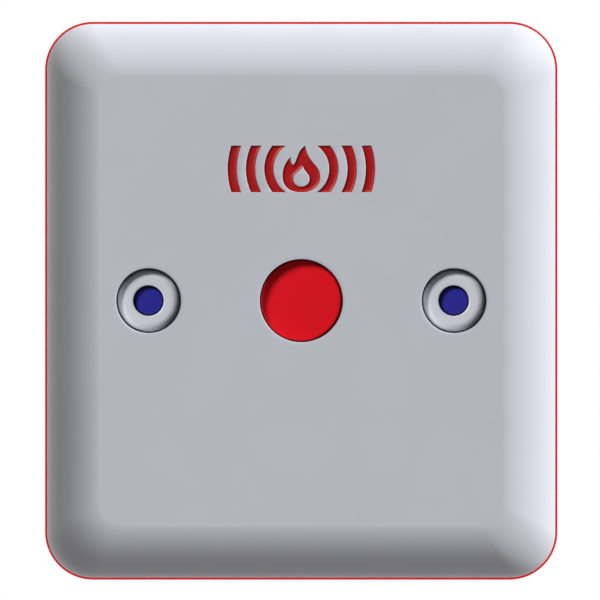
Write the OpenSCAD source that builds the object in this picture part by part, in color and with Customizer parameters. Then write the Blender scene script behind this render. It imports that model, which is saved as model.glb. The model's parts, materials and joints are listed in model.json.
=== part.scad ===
// Manual call point, push-button pattern: a red surface back box closed by a
// grey front plate that carries a recessed red button, its return spring and
// the circuit board with the switch and the field terminals.
// Local axes of every module: X right, Y up the wall, Z out of the wall.
// facing() turns them into the part's own frame: the wall is at Y = 0, the
// front looks along -Y and +Z is up. Origin: centre of the rear wall face.

/* [Front plate] */
// Width of the grey plate
plate_w = 100.5; // [96:0.5:110]
// Height of the grey plate
plate_h = 109.5; // [104:0.5:120]
// Depth of the plate from its rim to its flat face
plate_depth = 10; // [9.5:0.5:13]
// Corner radius of the plate's outline at its rim
plate_corner = 9; // [7:0.5:12]
// Corner radius where the rounded edge runs out into the flat face
face_corner = 4.5; // [3:0.5:6]
// Width of the rounded edge, from the outline to the flat face
edge_w = 10.4; // [9:0.1:12]
// How far the rounded edge drops below the flat face
edge_drop = 7.1; // [6:0.1:8.5]
// Wall thickness of the plate
plate_wall = 2.4; // [2:0.1:3]

/* [Back box] */
// How far the box stands out past the plate on every side
box_reveal = 0.5; // [0.3:0.05:0.6]
// Depth of the box from the wall to its rim
box_depth = 40; // [40:1:46]
// Thickness of the box's side walls
box_wall = 2; // [1.8:0.1:2.2]
// Thickness of the box's base
base_t = 2.5; // [2:0.1:4]
// Width between the wall fixing holes
fixing_w = 70; // [60:1:72]
// Height between the wall fixing holes
fixing_h = 80; // [70:1:84]
// Diameter of the wall fixing holes
fixing_d = 4.5; // [4:0.1:5.5]
// Diameter of the rear cable entry
entry_d = 20; // [16:0.5:22]
// Height of the rear cable entry above the middle of the box
entry_y = 20; // [14:1:26]

/* [Plate fixings] */
// Distance between the two plate screws, the single-gang box standard
screw_pitch = 60.3; // [60.3:0.1:62]
// Thread diameter of the plate screws
screw_d = 3.5; // [3:0.5:4]
// Diameter of the counterbore that holds the collar
collar_seat_d = 12.8; // [12:0.1:13.5]
// Hole through the collar
collar_bore_d = 6; // [5.8:0.1:6.4]

/* [Button] */
// Diameter of the button's hole in the plate
button_bore_d = 16.4; // [16:0.1:17]
// Diameter of the button's face
button_d = 16; // [15.2:0.1:16]
// How far the button's face lies below the plate's face
button_recess = 1.8; // [1:0.1:2.5]
// Travel of the button from rest to its stop
button_travel = 3; // [2.5:0.1:3]

/* [Symbol] */
// Height of the flame and of the arcs beside it
symbol_h = 9.2; // [8:0.1:10]
// Overall width of the symbol
symbol_w = 29.1; // [27:0.1:31]
// Height of the symbol's centre above the button's axis
symbol_y = 26; // [24:0.5:28]
// Depth of the red filling below the plate's face
symbol_sunk = 0.4; // [0.1:0.1:0.5]

/* [Hidden] */

$fn = 48;
corner_steps = 8;
cut = 1;         // how far a cutting solid runs past the face it cuts
weld = 0.5;      // how far a boss runs into the wall that carries it
seam = 0.1;      // how far two solids of one small piece run into each other
slip = 0.03;     // radial gap of a push fit
play = 0.1;      // radial gap round a part that slides or is dropped in

// Levels above the wall
gasket_t = 0.8;
rim_z = box_depth;
plate_z = rim_z + gasket_t;
face_z = plate_z + plate_depth;
inner_z = face_z - plate_wall;
box_w = plate_w + 2 * box_reveal;
box_h = plate_h + 2 * box_reveal;
box_corner = plate_corner + box_reveal;

// The rounded edge is a quarter of a superellipse in section, a little flatter than an ellipse
edge_power = 1.7;
edge_steps = 14;

// Plate screws, their collars and caps
collar_seat_depth = 4;
collar_gap = 0.3;
collar_d = collar_seat_d - 2 * collar_gap;
collar_t = 2.6;
collar_round = 1.6;
tower_d = 16;
tower_depth = 12;
tower_z = face_z - tower_depth;
screw_seat_depth = 7;
screw_seat_z = face_z - screw_seat_depth;
screw_head_d = 6.8;
screw_head_h = 2.3;
screw_shank_d = screw_d - 0.1;
screw_bore_d = screw_d + 0.7;
screw_length = 20;
head_bore_d = 7.4;
cap_d = collar_bore_d - 4 * play;
cap_sunk = 2.4;
cap_gap = 0.1;
cap_rib_d = 0.8;
cap_rib_h = 1.2;
pillar_d = 10;
pillar_gap = 0.4;
pillar_z = tower_z - pillar_gap;
insert_d = 5.6;
insert_length = 8;
pillar_hole_d = screw_d + 0.5;
pillar_plug = 10;
pillar_hole_foot = base_t + pillar_plug;

// Lip of the plate inside the box, and the gasket around it
lip_gap = 0.25;
lip_inset = box_reveal - box_wall - lip_gap;
lip_t = 1.6;
lip_depth = 2.5;
lip_root = 2;
gasket_w = 1.1;
gasket_inset = 0.4;

// Button and its guide in the plate
guide_d = 24.4;
guide_depth = 14;
guide_z = face_z - guide_depth;
guide_step_depth = 6;
guide_step_z = face_z - guide_step_depth;
guide_wide_d = 20.6;
flange_d = 20;
flange_t = 1.8;
washer_t = 0.6;
button_z = face_z - button_recess;
face_round = 0.5;
flange_z = guide_step_z - washer_t;
cap_wall = 1.8;
cap_hollow_d = 13;
hub_d = 7.4;
stem_d = 5;
stem_sunk = 2.4;
stem_top = button_z - stem_sunk;
stem_tip = 30.9;
stop_gap = 0.1;
retainer_t = 2.4;
retainer_z = guide_z - retainer_t;
retainer_pitch = 36;
retainer_boss_d = 6;
retainer_bar_w = 8;
retainer_hole_d = 3;
sleeve_d = 8.6;
stem_hole_d = stem_d + 0.3;
sleeve_drop = 3.8;
sleeve_foot = guide_z - sleeve_drop;
sleeve_top = flange_z - flange_t - button_travel - stop_gap;

// Small screws that cut their own thread in the plate's pilot holes
small_head_d = 4.8;
small_head_h = 1.8;
small_shank_d = 2.3;
pilot_d = 2.4;
pilot_reach = 6;
pilot_depth = 8;

// Return spring
spring_d = 12.4;
spring_wire = 0.9;
spring_turns = 5;

// Circuit board
board_w = 45;
board_h = 62;
board_t = 1.6;
board_top = 17;
board_z = board_top - board_t;
board_post_x = 18;
board_post_y = 26.5;
board_post_d = 7;
board_corner = 2;
board_hole_d = 3.2;
pin_hole_d = 1.3;
lead_hole_d = 0.9;

// Switch
case_l = 19.8;
case_w = 6.4;
case_h = 9.6;
case_left = -15.5;
case_top = board_top + case_h;
case_wall = 1;
case_inset = 2.5;
pivot_x = -14;
pivot_rise = 0.85;
pivot_z = case_top + pivot_rise;
lever_t = 0.4;
lever_w = 2.6;
lever_reach = 19;
lever_angle = 11.64;
barrel_d = 1.5;
pin_d = 1;
ear_t = 0.8;
plunger_x = -6;
plunger_d = 2.2;
plunger_gap = 0.2;
plunger_top = pivot_z + (plunger_x - pivot_x) * tan(lever_angle) - lever_t / 2 - plunger_gap;
plunger_foot = case_top - case_wall - play;

// Terminal block
way_pitch = 5;
ways = 4;
terminal_end = 0.2;
terminal_w = way_pitch * ways + 2 * terminal_end;
terminal_h = 9;
terminal_depth = 10;
terminal_y = -23.5;
terminal_z = board_z - terminal_depth;
terminal_screw_d = 3;
way_x = [for (i = [0 : ways - 1]) (i - (ways - 1) / 2) * way_pitch];

// Colours
grey = [0.70, 0.71, 0.74];
light_grey = [0.75, 0.76, 0.79];
red = [0.79, 0.09, 0.13];
blue = [0.15, 0.15, 0.52];
black = [0.12, 0.12, 0.13];
dark_grey = [0.2, 0.2, 0.22];

module facing() {
    rotate([90, 0, 0]) children();
}

module at_sides(pitch) {
    for (side = [-1, 1]) translate([side * pitch / 2, 0, 0]) children();
}

module at_corners(w, h) {
    for (x = [-w / 2, w / 2], y = [-h / 2, h / 2]) translate([x, y, 0]) children();
}

module at_board_posts() {
    at_corners(2 * board_post_x, 2 * board_post_y) children();
}

module rounded_rectangle(w, h, r) {
    square([w - 2 * r, h], center = true);
    square([w, h - 2 * r], center = true);
    at_corners(w - 2 * r, h - 2 * r) circle(r = r);
}

module rounded_block(w, h, r, t) {
    linear_extrude(t) rounded_rectangle(w, h, r);
}

module frame_ring(w, h, r, wall, t) {
    linear_extrude(t) difference() {
        rounded_rectangle(w, h, r);
        rounded_rectangle(w - 2 * wall, h - 2 * wall, r - wall);
    }
}

// Rounded edge of the plate, as [inset, level, outward share and upward share of its normal]
function corner_at(inset) = plate_corner + (face_corner - plate_corner) * inset / edge_w;
function edge_slope(a) =
    let (bend = 2 - 2 / edge_power)
    atan2(edge_drop * pow(cos(a), bend), edge_w * pow(sin(a), bend));
edge_profile = [
    for (i = [0 : edge_steps])
        let (a = 90 * i / edge_steps, slope = edge_slope(a))
        [
            edge_w * (1 - pow(cos(a), 2 / edge_power)),
            face_z - edge_drop * (1 - pow(sin(a), 2 / edge_power)),
            sin(slope),
            cos(slope)
        ]
];

// Outline of the rounded edge at one level, anticlockwise
function edge_ring(inset, radius, level) = [
    for (c = [[1, 1, 0], [-1, 1, 90], [-1, -1, 180], [1, -1, 270]], i = [0 : corner_steps])
        let (a = c[2] + 90 * i / corner_steps)
        [
            c[0] * (plate_w / 2 - inset - radius) + radius * cos(a),
            c[1] * (plate_h / 2 - inset - radius) + radius * sin(a),
            level
        ]
];

// Solid skinned over closed rings of equal length, first ring lowest
module loft(rings) {
    n = len(rings[0]);
    sides = [
        for (i = [0 : len(rings) - 2], j = [0 : n - 1])
            let (k = (j + 1) % n, a = i * n, b = a + n)
            [a + j, b + j, b + k, a + k]
    ];
    bottom = [for (j = [0 : n - 1]) j];
    top = [for (j = [n - 1 : -1 : 0]) (len(rings) - 1) * n + j];
    polyhedron([for (r = rings) each r], concat(sides, [bottom, top]));
}

module plate_outside() {
    loft([
        edge_ring(0, plate_corner, plate_z),
        for (p = edge_profile) edge_ring(p[0], corner_at(p[0]), p[1])
    ]);
}

// The inside runs parallel to the outside
module plate_inside() {
    loft([
        edge_ring(plate_wall, plate_corner - plate_wall, plate_z - cut),
        for (p = edge_profile)
            let (inward = plate_wall * p[2])
            edge_ring(p[0] + inward, corner_at(p[0]) - inward, p[1] - plate_wall * p[3])
    ]);
}

// Symbol: a flame between alarm arcs, drawn about its own centre
function bezier(a, b, c, d, steps) = [
    for (i = [0 : steps - 1])
        let (t = i / steps, s = 1 - t)
        s * s * s * a + 3 * s * s * t * b + 3 * s * t * t * c + t * t * t * d
];

flame_w = 7.4;
flame_steps = 8;
flame_outline = concat(
    bezier([0, 0], [0.34, 0], [0.5, 0.14], [0.5, 0.34], flame_steps),
    bezier([0.5, 0.34], [0.5, 0.6], [0.16, 0.62], [0.1, 1], flame_steps),
    bezier([0.1, 1], [-0.14, 0.86], [-0.1, 0.66], [-0.22, 0.58], flame_steps),
    bezier([-0.22, 0.58], [-0.3, 0.64], [-0.3, 0.7], [-0.28, 0.76], flame_steps),
    bezier([-0.28, 0.76], [-0.46, 0.62], [-0.5, 0.48], [-0.5, 0.34], flame_steps),
    bezier([-0.5, 0.34], [-0.5, 0.14], [-0.34, 0], [0, 0], flame_steps)
);
flame_heart = concat(
    bezier([0, 0.12], [0.14, 0.12], [0.22, 0.2], [0.22, 0.29], flame_steps),
    bezier([0.22, 0.29], [0.22, 0.4], [0.1, 0.42], [0.04, 0.56], flame_steps),
    bezier([0.04, 0.56], [-0.08, 0.42], [-0.22, 0.4], [-0.22, 0.29], flame_steps),
    bezier([-0.22, 0.29], [-0.22, 0.2], [-0.14, 0.12], [0, 0.12], flame_steps)
);

arc_count = 3;
arc_stroke = 1.8;
arc_gap = (symbol_w / 2 - flame_w / 2 - arc_count * arc_stroke) / arc_count;
arc_sides = 96;

module symbol_arcs() {
    for (i = [0 : arc_count - 1]) {
        outer = symbol_w / 2 - i * (arc_stroke + arc_gap);
        intersection() {
            difference() {
                circle(r = outer, $fn = arc_sides);
                circle(r = outer - arc_stroke, $fn = arc_sides);
            }
            square([symbol_w + cut, symbol_h], center = true);
        }
    }
}

module flame() {
    difference() {
        translate([0, -symbol_h / 2])
            polygon([for (p = flame_outline) [p[0] * flame_w, p[1] * symbol_h]]);
        translate([0, -symbol_h / 2])
            polygon([for (p = flame_heart) [p[0] * flame_w, p[1] * symbol_h]]);
    }
}

symbol_pocket = 1;
module symbol_solid(t) {
    translate([0, symbol_y, 0]) {
        linear_extrude(t) symbol_arcs();
        linear_extrude(t) flame();
    }
}

// Front plate and what is fixed in it
module plate_bosses() {
    lip_w = plate_w + 2 * lip_inset;
    lip_h = plate_h + 2 * lip_inset;
    translate([0, 0, guide_z]) cylinder(d = guide_d, h = inner_z - guide_z + weld);
    at_sides(screw_pitch) translate([0, 0, tower_z]) cylinder(d = tower_d, h = inner_z - tower_z + weld);
    at_sides(retainer_pitch) translate([0, 0, guide_z])
        cylinder(d = retainer_boss_d, h = inner_z - guide_z + weld);
    at_board_posts() translate([0, 0, board_top])
        cylinder(d = board_post_d, h = inner_z - board_top + weld);
    translate([0, 0, plate_z - lip_depth])
        frame_ring(lip_w, lip_h, plate_corner + lip_inset, lip_t, lip_depth + lip_root);
}

module plate_holes() {
    translate([0, 0, guide_step_z - cut]) cylinder(d = button_bore_d, h = face_z - guide_step_z + 2 * cut);
    translate([0, 0, guide_z - cut]) cylinder(d = guide_wide_d, h = guide_step_z - guide_z + cut);
    at_sides(screw_pitch) {
        translate([0, 0, face_z - collar_seat_depth])
            cylinder(d = collar_seat_d, h = collar_seat_depth + cut);
        translate([0, 0, screw_seat_z]) cylinder(d = head_bore_d, h = face_z - screw_seat_z);
        translate([0, 0, tower_z - cut]) cylinder(d = screw_bore_d, h = face_z - tower_z);
    }
    at_sides(retainer_pitch) translate([0, 0, guide_z - cut]) cylinder(d = pilot_d, h = pilot_depth + cut);
    at_board_posts() translate([0, 0, board_top - cut]) cylinder(d = pilot_d, h = pilot_depth + cut);
    translate([0, 0, face_z - symbol_pocket]) symbol_solid(symbol_pocket + cut);
}

module front_plate() {
    color(grey) facing() difference() {
        union() {
            difference() {
                plate_outside();
                plate_inside();
            }
            plate_bosses();
        }
        plate_holes();
    }
}

module symbol_inlay() {
    color(red) facing() translate([0, 0, face_z - symbol_pocket]) symbol_solid(symbol_pocket - symbol_sunk);
}

module collar() {
    z0 = face_z - collar_seat_depth;
    r = collar_d / 2;
    translate([0, 0, z0]) rotate_extrude() difference() {
        translate([collar_bore_d / 2, 0]) square([r - collar_bore_d / 2, collar_t]);
        translate([r - collar_round, collar_t - collar_round]) difference() {
            square(collar_round + cut);
            circle(r = collar_round);
        }
    }
}

module left_screw_collar() {
    color(light_grey) facing() translate([-screw_pitch / 2, 0, 0]) collar();
}

module right_screw_collar() {
    color(light_grey) facing() translate([screw_pitch / 2, 0, 0]) collar();
}

module screw_cap() {
    foot = screw_seat_z + screw_head_h + cap_gap;
    top = face_z - cap_sunk;
    translate([0, 0, foot]) {
        cylinder(d = cap_d, h = top - foot);
        for (a = [0 : 90 : 270])
            rotate(a) translate([(collar_bore_d - cap_rib_d) / 2 - slip, 0, 0])
                cylinder(d = cap_rib_d, h = cap_rib_h);
    }
}

module left_screw_cap() {
    color(blue) facing() translate([-screw_pitch / 2, 0, 0]) screw_cap();
}

module right_screw_cap() {
    color(blue) facing() translate([screw_pitch / 2, 0, 0]) screw_cap();
}

// Pan-head screw standing on its seat, point downwards, with a cross recess in its head
module pan_screw(head_d, head_h, shank_d, length) {
    side_h = 0.6 * head_h;
    top_d = 0.7 * head_d;
    recess_l = 0.6 * head_d;
    recess_w = 0.22 * head_d;
    recess_foot = 0.35 * head_h;
    difference() {
        union() {
            cylinder(d = head_d, h = side_h);
            translate([0, 0, side_h]) cylinder(d1 = head_d, d2 = top_d, h = head_h - side_h);
        }
        for (a = [0, 90]) rotate(a) translate([-recess_l / 2, -recess_w / 2, recess_foot])
            cube([recess_l, recess_w, head_h]);
    }
    translate([0, 0, -length]) cylinder(d = shank_d, h = length + seam);
}

module plate_screws() {
    color("silver") facing() at_sides(screw_pitch) translate([0, 0, screw_seat_z])
        pan_screw(screw_head_d, screw_head_h, screw_shank_d, screw_length);
}

module rim_gasket() {
    w = plate_w - 2 * gasket_inset;
    h = plate_h - 2 * gasket_inset;
    color(black) facing() translate([0, 0, rim_z])
        frame_ring(w, h, plate_corner - gasket_inset, gasket_w, gasket_t);
}

// Back box
knockout_d = 20.6;
knockout_z = 22;
knockout_groove_w = 0.7;
knockout_groove_depth = 1.2;
fixing_boss_d = 11;
fixing_boss_h = 2;
module box_pillars() {
    at_sides(screw_pitch) translate([0, 0, base_t - weld])
        cylinder(d = pillar_d, h = pillar_z - base_t + weld);
    at_corners(fixing_w, fixing_h) translate([0, 0, base_t - weld])
        cylinder(d = fixing_boss_d, h = fixing_boss_h + weld);
}

module knockout_groove() {
    depth = knockout_groove_depth + cut;
    translate([0, box_h / 2, knockout_z]) rotate([90, 0, 0]) translate([0, 0, -cut]) difference() {
        cylinder(d = knockout_d, h = depth);
        translate([0, 0, -cut]) cylinder(d = knockout_d - 2 * knockout_groove_w, h = depth + 2 * cut);
    }
}

module back_box() {
    inner_w = box_w - 2 * box_wall;
    inner_h = box_h - 2 * box_wall;
    color(red) facing() difference() {
        union() {
            difference() {
                rounded_block(box_w, box_h, box_corner, box_depth);
                translate([0, 0, base_t])
                    rounded_block(inner_w, inner_h, box_corner - box_wall, box_depth);
            }
            box_pillars();
        }
        at_sides(screw_pitch) {
            translate([0, 0, pillar_z - insert_length]) cylinder(d = insert_d, h = insert_length + cut);
            translate([0, 0, pillar_hole_foot]) cylinder(d = pillar_hole_d, h = pillar_z);
        }
        at_corners(fixing_w, fixing_h) translate([0, 0, -cut])
            cylinder(d = fixing_d, h = base_t + fixing_boss_h + 2 * cut);
        translate([0, entry_y, -cut]) cylinder(d = entry_d, h = base_t + 2 * cut);
        for (a = [0, 180]) rotate(a) knockout_groove();
    }
}

module threaded_inserts() {
    color("gold") facing() at_sides(screw_pitch) translate([0, 0, pillar_z - insert_length]) difference() {
        cylinder(d = insert_d, h = insert_length);
        translate([0, 0, -cut]) cylinder(d = screw_d, h = insert_length + 2 * cut);
    }
}

// Button
module button_cap() {
    foot = flange_z - flange_t;
    top = button_z;
    color(red) facing() {
        rotate_extrude() difference() {
            union() {
                translate([0, foot]) square([button_d / 2, top - foot]);
                translate([0, foot]) square([flange_d / 2, flange_t]);
            }
            translate([button_d / 2 - face_round, top - face_round]) difference() {
                square(face_round + cut);
                circle(r = face_round);
            }
            translate([hub_d / 2, foot - cut])
                square([(cap_hollow_d - hub_d) / 2, top - cap_wall - foot + cut]);
            translate([0, foot - cut]) square([stem_d / 2, stem_top - foot + cut]);
        }
    }
}

module button_stem() {
    color("white") facing() {
        translate([0, 0, stem_tip + stem_d / 2]) cylinder(d = stem_d, h = stem_top - stem_tip - stem_d / 2);
        translate([0, 0, stem_tip + stem_d / 2]) sphere(d = stem_d);
    }
}

module stop_washer() {
    color(black) facing() translate([0, 0, flange_z]) difference() {
        cylinder(d = flange_d, h = washer_t);
        translate([0, 0, -cut]) cylinder(d = button_d + 2 * play, h = washer_t + 2 * cut);
    }
}

// Compression spring: a round wire swept along a helix, with closed ends
spring_sides = 8;
spring_steps = 16;
spring_low = guide_z + spring_wire / 2;
spring_high = button_z - cap_wall - spring_wire / 2;
function ease(u) = u * u * (3 - 2 * u);
function spring_point(i, j) =
    let (
        u = i / (spring_turns * spring_steps),
        a = 360 * i / spring_steps,
        b = 360 * j / spring_sides,
        r = (spring_d - spring_wire) / 2 + spring_wire / 2 * cos(b),
        z = spring_low + (spring_high - spring_low) * ease(u) + spring_wire / 2 * sin(b)
    )
    [r * cos(a), r * sin(a), z];

module return_spring() {
    n = spring_sides;
    rings = spring_turns * spring_steps + 1;
    points = [for (i = [0 : rings - 1], j = [0 : n - 1]) spring_point(i, j)];
    sides = [
        for (i = [0 : rings - 2], j = [0 : n - 1])
            let (k = (j + 1) % n, a = i * n, b = a + n)
            each [[a + j, a + k, b + k], [a + j, b + k, b + j]]
    ];
    first = [for (j = [n - 1 : -1 : 0]) j];
    last = [for (j = [0 : n - 1]) (rings - 1) * n + j];
    color("silver") facing() polyhedron(points, concat(sides, [first, last]));
}

module button_retainer() {
    sleeve_h = sleeve_top - sleeve_foot;
    color(dark_grey) facing() difference() {
        union() {
            translate([0, 0, retainer_z]) {
                cylinder(d = guide_d, h = retainer_t);
                linear_extrude(retainer_t) square([retainer_pitch, retainer_bar_w], center = true);
                at_sides(retainer_pitch) cylinder(d = retainer_bar_w, h = retainer_t);
            }
            translate([0, 0, sleeve_foot]) cylinder(d = sleeve_d, h = sleeve_h);
        }
        translate([0, 0, sleeve_foot - cut]) cylinder(d = stem_hole_d, h = sleeve_h + 2 * cut);
        at_sides(retainer_pitch) translate([0, 0, retainer_z - cut])
            cylinder(d = retainer_hole_d, h = retainer_t + 2 * cut);
    }
}

module retainer_screws() {
    color("silver") facing() at_sides(retainer_pitch) translate([0, 0, retainer_z])
        rotate([180, 0, 0]) pan_screw(small_head_d, small_head_h, small_shank_d, retainer_t + pilot_reach);
}

// Circuit board and what is soldered to it
module circuit_board() {
    hole_h = board_t + 2 * cut;
    color([0.1, 0.4, 0.2]) facing() translate([0, 0, board_z]) difference() {
        rounded_block(board_w, board_h, board_corner, board_t);
        translate([0, 0, -cut]) {
            at_board_posts() cylinder(d = board_hole_d, h = hole_h);
            for (x = way_x) translate([x, terminal_y, 0]) cylinder(d = pin_hole_d, h = hole_h);
            for (x = switch_pin_x) translate([x, 0, 0]) cylinder(d = pin_hole_d, h = hole_h);
            for (y = axial_y) translate([0, y, 0]) at_sides(axial_pitch)
                cylinder(d = lead_hole_d, h = hole_h);
        }
    }
}

module board_screws() {
    color("silver") facing() at_board_posts() translate([0, 0, board_z])
        rotate([180, 0, 0]) pan_screw(small_head_d, small_head_h, small_shank_d, board_t + pilot_reach);
}

// Snap switch: hollow case open on one side, closed by a flat cover
switch_pin_x = [case_left + case_inset, case_left + case_l / 2, case_left + case_l - case_inset];
cover_t = 1;
ear_w = 2.6;
ear_h = 1.9;
rivet_d = 1.6;
switch_pin_d = 1;
switch_pin_above = 3.2;
switch_pin_below = 1.2;
module switch_case() {
    body_w = case_w - cover_t;
    color(black) facing() difference() {
        union() {
            translate([case_left, -case_w / 2, board_top]) cube([case_l, body_w, case_h]);
            for (y = [-case_w / 2, case_w / 2 - cover_t - ear_t])
                translate([pivot_x - ear_w / 2, y, case_top - weld]) cube([ear_w, ear_t, weld + ear_h]);
        }
        translate([case_left + case_wall, -case_w / 2 + case_wall, board_top + case_wall])
            cube([case_l - 2 * case_wall, body_w, case_h - 2 * case_wall]);
        translate([plunger_x, 0, case_top - 2 * case_wall])
            cylinder(d = plunger_d + 2 * play, h = 3 * case_wall);
        translate([pivot_x, case_w, pivot_z]) rotate([90, 0, 0]) cylinder(d = pin_d, h = 2 * case_w);
        for (x = switch_pin_x) translate([x, 0, board_top - cut])
            cylinder(d = switch_pin_d + play, h = case_wall + 2 * cut);
    }
}

module switch_cover() {
    color(dark_grey) facing() difference() {
        translate([case_left, case_w / 2 - cover_t, board_top]) cube([case_l, cover_t, case_h]);
        for (x = [case_left + case_inset, case_left + case_l - case_inset])
            translate([x, case_w, board_top + case_h / 2]) rotate([90, 0, 0])
                cylinder(d = rivet_d, h = case_w);
    }
}

module switch_plunger() {
    flange_r = 1.6;
    flange_h = 0.8;
    r = plunger_d / 2;
    tip = 0.5;
    top = plunger_top - plunger_foot + flange_h;
    color("white") facing() translate([plunger_x, 0, plunger_foot - flange_h]) rotate_extrude() polygon([
        [0, 0], [flange_r, 0], [flange_r, flange_h], [r, flange_h], [r, top - tip], [r - tip, top], [0, top]
    ]);
}

module switch_lever() {
    color("silver") facing() translate([pivot_x, 0, pivot_z]) rotate([0, -lever_angle, 0]) difference() {
        union() {
            translate([0, -lever_w / 2, -lever_t / 2]) cube([lever_reach, lever_w, lever_t]);
            rotate([90, 0, 0]) translate([0, 0, -lever_w / 2]) cylinder(d = barrel_d, h = lever_w);
        }
        rotate([90, 0, 0]) translate([0, 0, -lever_w]) cylinder(d = pin_d + 2 * slip, h = 2 * lever_w);
    }
}

module lever_pin() {
    color("silver") facing() translate([pivot_x, case_w / 2 - cover_t, pivot_z]) rotate([90, 0, 0])
        cylinder(d = pin_d, h = case_w - cover_t);
}

module switch_terminals() {
    color("silver") facing() for (x = switch_pin_x) translate([x, 0, board_z - switch_pin_below])
        cylinder(d = switch_pin_d, h = switch_pin_below + board_t + switch_pin_above);
}

// Terminal block: wires enter from below, screws face the wall
mouth_w = 3.6;
mouth_z = 4.4;
clamp_w = 3.4;
clamp_l = 6.4;
clamp_t = 0.6;
clamp_z = terminal_z + mouth_z + play;
terminal_head_h = 1.8;
terminal_slot_w = 0.6;
terminal_shank_d = 2.1;
terminal_shank_h = 3;
terminal_pin_d = 1;

module terminal_housing() {
    bridge = 1;
    color([0.15, 0.45, 0.25]) facing() translate([0, terminal_y, terminal_z]) difference() {
        translate([-terminal_w / 2, -terminal_h / 2, 0]) cube([terminal_w, terminal_h, terminal_depth]);
        for (x = way_x) translate([x, 0, 0]) {
            translate([-mouth_w / 2, -terminal_h / 2 - cut, mouth_z])
                cube([mouth_w, terminal_h - bridge + cut, mouth_w]);
            translate([0, 0, -cut]) cylinder(d = terminal_screw_d + 4 * play, h = mouth_z + 2 * cut);
            translate([0, 0, mouth_z + cut]) cylinder(d = terminal_pin_d + 2 * play, h = terminal_depth);
        }
    }
}

module terminal_clamps() {
    color("silver") facing() for (x = way_x) translate([x, terminal_y, clamp_z]) difference() {
        translate([-clamp_w / 2, -clamp_l / 2, 0]) cube([clamp_w, clamp_l, clamp_w]);
        translate([clamp_t - clamp_w / 2, -clamp_l, clamp_t])
            cube([clamp_w - 2 * clamp_t, 2 * clamp_l, clamp_w - 2 * clamp_t]);
        translate([0, 0, -cut]) cylinder(d = terminal_shank_d + play, h = 2 * cut);
    }
}

module terminal_screws() {
    sunk = 1.2;
    slot_depth = 0.8;
    color("silver") facing() for (x = way_x) translate([x, terminal_y, terminal_z + sunk]) {
        difference() {
            cylinder(d = terminal_screw_d, h = terminal_head_h);
            translate([-terminal_screw_d, -terminal_slot_w / 2, -cut])
                cube([2 * terminal_screw_d, terminal_slot_w, cut + slot_depth]);
        }
        translate([0, 0, terminal_head_h - seam]) cylinder(d = terminal_shank_d, h = terminal_shank_h);
    }
}

module terminal_pins() {
    foot = clamp_z + clamp_w;
    above = 1;
    color("silver") facing() for (x = way_x) translate([x, terminal_y, foot])
        cylinder(d = terminal_pin_d, h = board_top - foot + above);
}

// Axial parts lie flat on the front of the board, with bent leads
axial_pitch = 12;
resistor_y = [14, 19];
diode_y = -14;
axial_y = concat(resistor_y, [diode_y]);
resistor_d = 2.4;
resistor_l = 6.4;
diode_d = 2.6;
diode_l = 5.2;
lead_d = 0.6;
lead_below = 1;
body_lift = 0.2;
module axial_part(y, body_d, body_l) {
    axis_z = board_top + body_d / 2 + body_lift;
    translate([-body_l / 2, y, axis_z]) rotate([0, 90, 0]) cylinder(d = body_d, h = body_l);
    translate([-axial_pitch / 2, y, axis_z]) rotate([0, 90, 0]) cylinder(d = lead_d, h = axial_pitch);
    translate([0, y, 0]) at_sides(axial_pitch) {
        translate([0, 0, board_z - lead_below]) cylinder(d = lead_d, h = axis_z - board_z + lead_below);
        translate([0, 0, axis_z]) sphere(d = lead_d);
    }
}

module alarm_resistor() {
    color([0.85, 0.75, 0.55]) facing() axial_part(resistor_y[0], resistor_d, resistor_l);
}

module end_of_line_resistor() {
    color([0.5, 0.7, 0.85]) facing() axial_part(resistor_y[1], resistor_d, resistor_l);
}

module blocking_diode() {
    color(black) facing() axial_part(diode_y, diode_d, diode_l);
}

front_plate();
symbol_inlay();
left_screw_collar();
right_screw_collar();
left_screw_cap();
right_screw_cap();
plate_screws();
rim_gasket();
back_box();
threaded_inserts();
button_cap();
button_stem();
stop_washer();
return_spring();
button_retainer();
retainer_screws();
circuit_board();
board_screws();
switch_case();
switch_cover();
switch_plunger();
switch_lever();
lever_pin();
switch_terminals();
terminal_housing();
terminal_clamps();
terminal_screws();
terminal_pins();
alarm_resistor();
end_of_line_resistor();
blocking_diode();
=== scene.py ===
import json
import math
from collections import namedtuple

import bmesh
import bpy
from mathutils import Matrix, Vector


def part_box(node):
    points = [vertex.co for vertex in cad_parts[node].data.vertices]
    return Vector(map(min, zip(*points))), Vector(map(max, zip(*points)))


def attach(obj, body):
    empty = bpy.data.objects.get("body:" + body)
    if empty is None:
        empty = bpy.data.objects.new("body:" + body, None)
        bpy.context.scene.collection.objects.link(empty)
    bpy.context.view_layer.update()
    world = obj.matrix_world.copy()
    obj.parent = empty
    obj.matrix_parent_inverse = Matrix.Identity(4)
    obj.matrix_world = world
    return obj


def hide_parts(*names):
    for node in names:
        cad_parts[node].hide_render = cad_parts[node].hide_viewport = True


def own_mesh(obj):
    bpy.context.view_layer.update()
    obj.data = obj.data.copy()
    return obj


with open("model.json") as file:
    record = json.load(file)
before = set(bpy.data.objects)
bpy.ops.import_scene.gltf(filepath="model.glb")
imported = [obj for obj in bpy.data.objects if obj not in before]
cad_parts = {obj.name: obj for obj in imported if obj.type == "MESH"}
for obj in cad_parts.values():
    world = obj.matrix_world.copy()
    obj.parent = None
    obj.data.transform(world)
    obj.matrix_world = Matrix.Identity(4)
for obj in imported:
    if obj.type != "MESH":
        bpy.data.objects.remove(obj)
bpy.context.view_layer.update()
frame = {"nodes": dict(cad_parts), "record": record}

MM = 0.001
SEGMENTS = 72
CORNER_STEPS = 18
SHARP = math.radians(38)
SIDES = (-1, 1)

Extent = namedtuple("Extent", "left right foot head back front")


# ---------------- places


def at(across, up, out):
    """A point of the row frame, from millimetres to the right, upwards and out of the wall."""
    return Vector((across, -out, up)) * MM


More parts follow.
